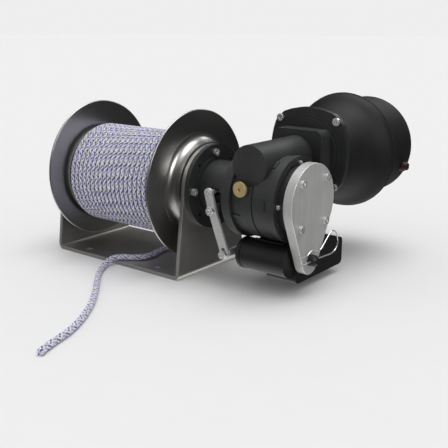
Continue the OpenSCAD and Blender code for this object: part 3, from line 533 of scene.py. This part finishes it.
def make_materials():
    """The material of each slot, by the slot's name."""
    made = {}

    def keep(kind, slot, *looks, **settings):
        made[slot] = kind(slot, *looks, **settings)

    def turned(s):
        return lines_round_x(s, drum_axis_height())

    keep(brushed, "cradle_steel", (0.50, 0.49, 0.46), (0.68, 0.66, 0.62), (0.26, 0.40), lines_along_y,
         metal=0.94)
    keep(brushed, "drum_steel", (0.44, 0.435, 0.425), (0.47, 0.465, 0.455), (0.28, 0.32), turned,
         relief=0.0005 * MM)
    keep(brushed, "plate_steel", (0.42, 0.42, 0.41), (0.62, 0.62, 0.60), (0.44, 0.58), lines_along_z,
         metal=0.4)
    keep(brushed, "lever_steel", (0.68, 0.68, 0.67), (0.84, 0.84, 0.82), (0.36, 0.50), lines_along_z,
         metal=0.6)
    keep(brushed, "shaft_steel", (0.48, 0.49, 0.50), (0.62, 0.62, 0.63), (0.22, 0.34), turned)
    keep(bright_metal, "bright_steel", (0.74, 0.74, 0.74), (0.92, 0.92, 0.91), (0.14, 0.28), metal=0.75)
    keep(bright_metal, "bronze", (0.45, 0.28, 0.12), (0.62, 0.42, 0.20), (0.25, 0.40))
    keep(bright_metal, "brass", (0.62, 0.48, 0.22), (0.72, 0.58, 0.29), (0.30, 0.38), grain=260.0, metal=0.6)
    keep(bright_metal, "copper", (0.60, 0.30, 0.18), (0.78, 0.44, 0.28), (0.25, 0.4))
    keep(cast_paint, "black_cast", (0.023, 0.024, 0.025), (0.033, 0.034, 0.035), (0.44, 0.58),
         grain=520.0, relief=0.10 * MM)
    keep(cast_paint, "black_alloy", (0.019, 0.020, 0.021), (0.028, 0.029, 0.030), (0.36, 0.50),
         grain=900.0, relief=0.04 * MM)
    keep(cast_paint, "black_sheet", (0.007, 0.007, 0.008), (0.011, 0.011, 0.012), (0.54, 0.66),
         grain=420.0, relief=0.03 * MM, specular=0.3)
    keep(cast_paint, "black_plastic", (0.008, 0.008, 0.009), (0.014, 0.014, 0.015), (0.38, 0.50),
         grain=1100.0, relief=0.03 * MM)
    keep(cast_paint, "black_rubber", (0.010, 0.010, 0.010), (0.018, 0.018, 0.018), (0.62, 0.78),
         grain=600.0, relief=0.06 * MM)
    keep(cast_paint, "red_rubber", (0.024, 0.002, 0.002), (0.040, 0.003, 0.004), (0.50, 0.62),
         grain=600.0, relief=0.05 * MM)
    keep(cast_paint, "lining", (0.16, 0.10, 0.06), (0.28, 0.18, 0.11), (0.7, 0.85),
         grain=500.0, relief=0.10 * MM)
    keep(cast_paint, "magnet", (0.05, 0.05, 0.055), (0.08, 0.08, 0.085), (0.5, 0.65),
         grain=500.0, relief=0.05 * MM)
    keep(cast_paint, "carbon", (0.02, 0.02, 0.02), (0.04, 0.04, 0.04), (0.5, 0.65),
         grain=700.0, relief=0.05 * MM)
    return made


def drum_axis_height():
    low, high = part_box("main_shaft")
    return (low.z + high.z) / 2


# ---------------------------------------------------------------- CAD nodes

# Width of the rounded edges of a node, in millimetres, where it isn't the usual one
EDGE = 0.5
EDGES = {
    "cradle": 1.3, "gearbox_case": 1.2, "motor_flange": 1.4, "actuator_housing": 1.6, "actuator_tube": 0.8,
    "clutch_housing": 0.8, "gearbox_cover": 0.7, "anchor_plate": 0.5, "lever": 0.5, "worm_end_cap": 1.8,
    "flange_gasket": 0.2, "oil_plug": 0.5, "cover_screws": 0.3, "housing_bolts": 0.4, "flange_bolts": 0.5,
    "pivot_nut": 0.4, "link_nut": 0.4, "actuator_stud": 0.6, "shift_pin": 0.2, "bell_cover": 0.8,
    "drum_hub_shell": 0.4, "idle_cap": 1.0, "boot_red": 1.0, "boot_black": 1.0, "plate_screws": 0.5,
}
# Ring faces of these close over their bore when they are joined and then bevelled
KEEP_TRIANGLES = {"drum_hub_shell"}
# Their rounded edges get a lighter, less metallic steel: a painted highlight
PAINTED_HIGHLIGHT_EDGES = {"cradle", "anchor_plate"}
# These keep their CAD edges, or a rope piece shows in their place
ROUND_ALREADY = {"r_clip", "rope_tail", "wound_rope", "worm_shaft", "worm_wheel"}


def dress_nodes(materials):
    """Gives every CAD node that shows its material and its rounded edges."""
    # lighter, less metallic steel for the bevelled edges: a painted highlight
    painted_edge_highlight = bright_metal("painted_edge_highlight", (0.90, 0.90, 0.89), (1.0, 1.0, 0.99), (0.16, 0.26), metal=0.35)
    for part in frame["record"]["subparts"]:
        name, slot = part["node"], part["material_slot"]
        if slot not in materials or nodes[name].hide_render:
            continue
        node = nodes[name]
        node.data.materials.clear()
        node.data.materials.append(materials[slot])
        if name not in ROUND_ALREADY:
            bevel = round_edges(node, EDGES.get(name, EDGE) * MM, name not in KEEP_TRIANGLES)
            if name in PAINTED_HIGHLIGHT_EDGES:
                node.data.materials.append(painted_edge_highlight)
                bevel.material = 1


def round_edges(node, width, join_faces):
    """Modifiers that round a node's sharp edges. Joining flat faces first gives the bevel clean edges."""
    weld = node.modifiers.new("weld", "WELD")
    weld.merge_threshold = 0.005 * MM
    if join_faces:
        flat = node.modifiers.new("flat_faces", "DECIMATE")
        flat.decimate_type = "DISSOLVE"
        flat.angle_limit = math.radians(0.4)
    bevel = node.modifiers.new("edges", "BEVEL")
    bevel.width = width
    bevel.segments = 3
    bevel.limit_method = "ANGLE"
    bevel.angle_limit = math.radians(35)
    bevel.use_clamp_overlap = True
    normal = node.modifiers.new("normals", "WEIGHTED_NORMAL")
    normal.keep_sharp = False
    return bevel


# ---------------------------------------------------------------- studio

FLOOR_HALF = 20.0
FLOOR_DROP = 0.2 * MM       # keeps the floor clear of the faces that stand on it
BACKDROP = (0.86, 0.86, 0.86, 1)
AMBIENT = (0.61, 0.61, 0.615, 1)
# Reflected room from straight down (0) through the horizon (0.5) to straight up (1)
ROOM_STOPS = [
    (0.0, 1.1), (0.15, 0.9), (0.24, 0.09), (0.31, 0.055), (0.42, 0.018), (0.60, 0.016), (0.76, 0.05),
    (0.88, 0.3), (1.0, 1.2),
]
# Reflected bright side, by the cosine of the angle away from its middle
SIDE_STOPS = [(0.0, 0.0), (0.45, 0.01), (0.72, 0.05), (0.9, 0.10), (1.0, 0.12)]
SIDE_LIGHT = Vector((-0.66, -0.72, -0.2)).normalized()   # toward the bright side of the room


def make_floor():
    corners = [
        Vector((x * FLOOR_HALF, y * FLOOR_HALF, -FLOOR_DROP)) for x, y in ((-1, -1), (1, -1), (1, 1), (-1, 1))
    ]
    floor = add_mesh("studio_floor", corners, [(0, 1, 2, 3)])
    s = Shader("studio_floor", Roughness=1.0, **{"Specular IOR Level": 0.0})
    s.set("Base Color", s.tint(s.noise(s.place(), 30.0, 4.0), (0.80, 0.80, 0.80), (0.82, 0.82, 0.82)))
    floor.data.materials.append(s.material)
    floor.visible_glossy = False


def make_world():
    """Pale behind the object; for reflections, a dim room with a bright side, ceiling and floor."""
    world = bpy.data.worlds.new("studio")
    world.use_nodes = True
    scene.world = world
    tree = world.node_tree
    background = tree.nodes["Background"]
    rays = tree.nodes.new("ShaderNodeLightPath")
    where = tree.nodes.new("ShaderNodeTexCoord")
    split = tree.nodes.new("ShaderNodeSeparateXYZ")
    tree.links.new(where.outputs["Generated"], split.inputs[0])
    height = tree.nodes.new("ShaderNodeMapRange")
    height.inputs[1].default_value, height.inputs[2].default_value = -1.0, 1.0
    tree.links.new(split.outputs["Z"], height.inputs[0])
    room = ramp(tree, height.outputs[0], ROOM_STOPS)
    toward = tree.nodes.new("ShaderNodeVectorMath")
    toward.operation = "DOT_PRODUCT"
    toward.inputs[1].default_value = SIDE_LIGHT
    tree.links.new(where.outputs["Generated"], toward.inputs[0])
    side = ramp(tree, toward.outputs["Value"], SIDE_STOPS)
    both = tree.nodes.new("ShaderNodeMix")
    both.data_type, both.blend_type = "RGBA", "ADD"
    both.inputs[0].default_value = 1.0
    tree.links.new(room, both.inputs[6])
    tree.links.new(side, both.inputs[7])
    glossy = tree.nodes.new("ShaderNodeMix")
    glossy.data_type = "RGBA"
    glossy.inputs[6].default_value = AMBIENT
    tree.links.new(rays.outputs["Is Glossy Ray"], glossy.inputs[0])
    tree.links.new(both.outputs[2], glossy.inputs[7])
    seen = tree.nodes.new("ShaderNodeMix")
    seen.data_type = "RGBA"
    seen.inputs[7].default_value = BACKDROP
    tree.links.new(rays.outputs["Is Camera Ray"], seen.inputs[0])
    tree.links.new(glossy.outputs[2], seen.inputs[6])
    tree.links.new(seen.outputs[2], background.inputs["Color"])


def ramp(tree, value, stops):
    """Colour ramp of greys: stops are places from 0 to 1 with their levels."""
    node = tree.nodes.new("ShaderNodeValToRGB")
    elements = node.color_ramp.elements
    for place, level in stops[1:-1]:
        elements.new(place).color = (level, level, level, 1)
    for element, (place, level) in ((elements[0], stops[0]), (elements[-1], stops[-1])):
        element.position, element.color = place, (level, level, level, 1)
    tree.links.new(value, node.inputs[0])
    return node.outputs["Color"]


def softbox(name, place, target, width, height, power):
    """A large lamp that shows in reflections and highlights only."""
    data = bpy.data.lights.new(name, "AREA")
    data.shape = "RECTANGLE"
    data.size, data.size_y = width, height
    data.energy = power
    box = bpy.data.objects.new(name, data)
    box.location = place
    box.rotation_euler = aimed(place, target)
    box.visible_diffuse = False
    scene.collection.objects.link(box)


def make_lights():
    sun = bpy.data.lights.new("overhead", "SUN")
    sun.energy = 1.50
    sun.angle = math.radians(48)
    high = bpy.data.objects.new("overhead", sun)
    high.rotation_euler = (math.radians(-9), math.radians(5), 0)
    scene.collection.objects.link(high)
    middle = (0.08, 0.0, 0.12)
    softbox("box_top", (-0.1, 0.2, 1.7), middle, 2.0, 1.4, 4)
    softbox("box_front_left", (-1.3, -1.5, 0.7), middle, 1.0, 1.2, 2.5)
    softbox("box_right", (1.9, -0.6, 1.1), middle, 0.9, 0.9, 14)
    softbox("box_back", (0.2, 2.2, 1.5), middle, 1.2, 0.5, 6)


# ---------------------------------------------------------------- everything

make_camera()
tail = make_tail()
winding, winding_place = make_winding()
core = make_rope_core()
materials = make_materials()
tail.data.materials.append(rope_material("rope_braid"))
# the winding and the layers under it share a braid with painted shade in the gaps between turns
wound_braid = rope_material("rope_braid_wound", winding_place)
for piece in (winding, core):
    piece.data.materials.append(wound_braid)
make_rim_bead().data.materials.append(materials["black_sheet"])
dress_nodes(materials)
make_floor()
make_world()
make_lights()
scene.view_settings.view_transform = "Standard"
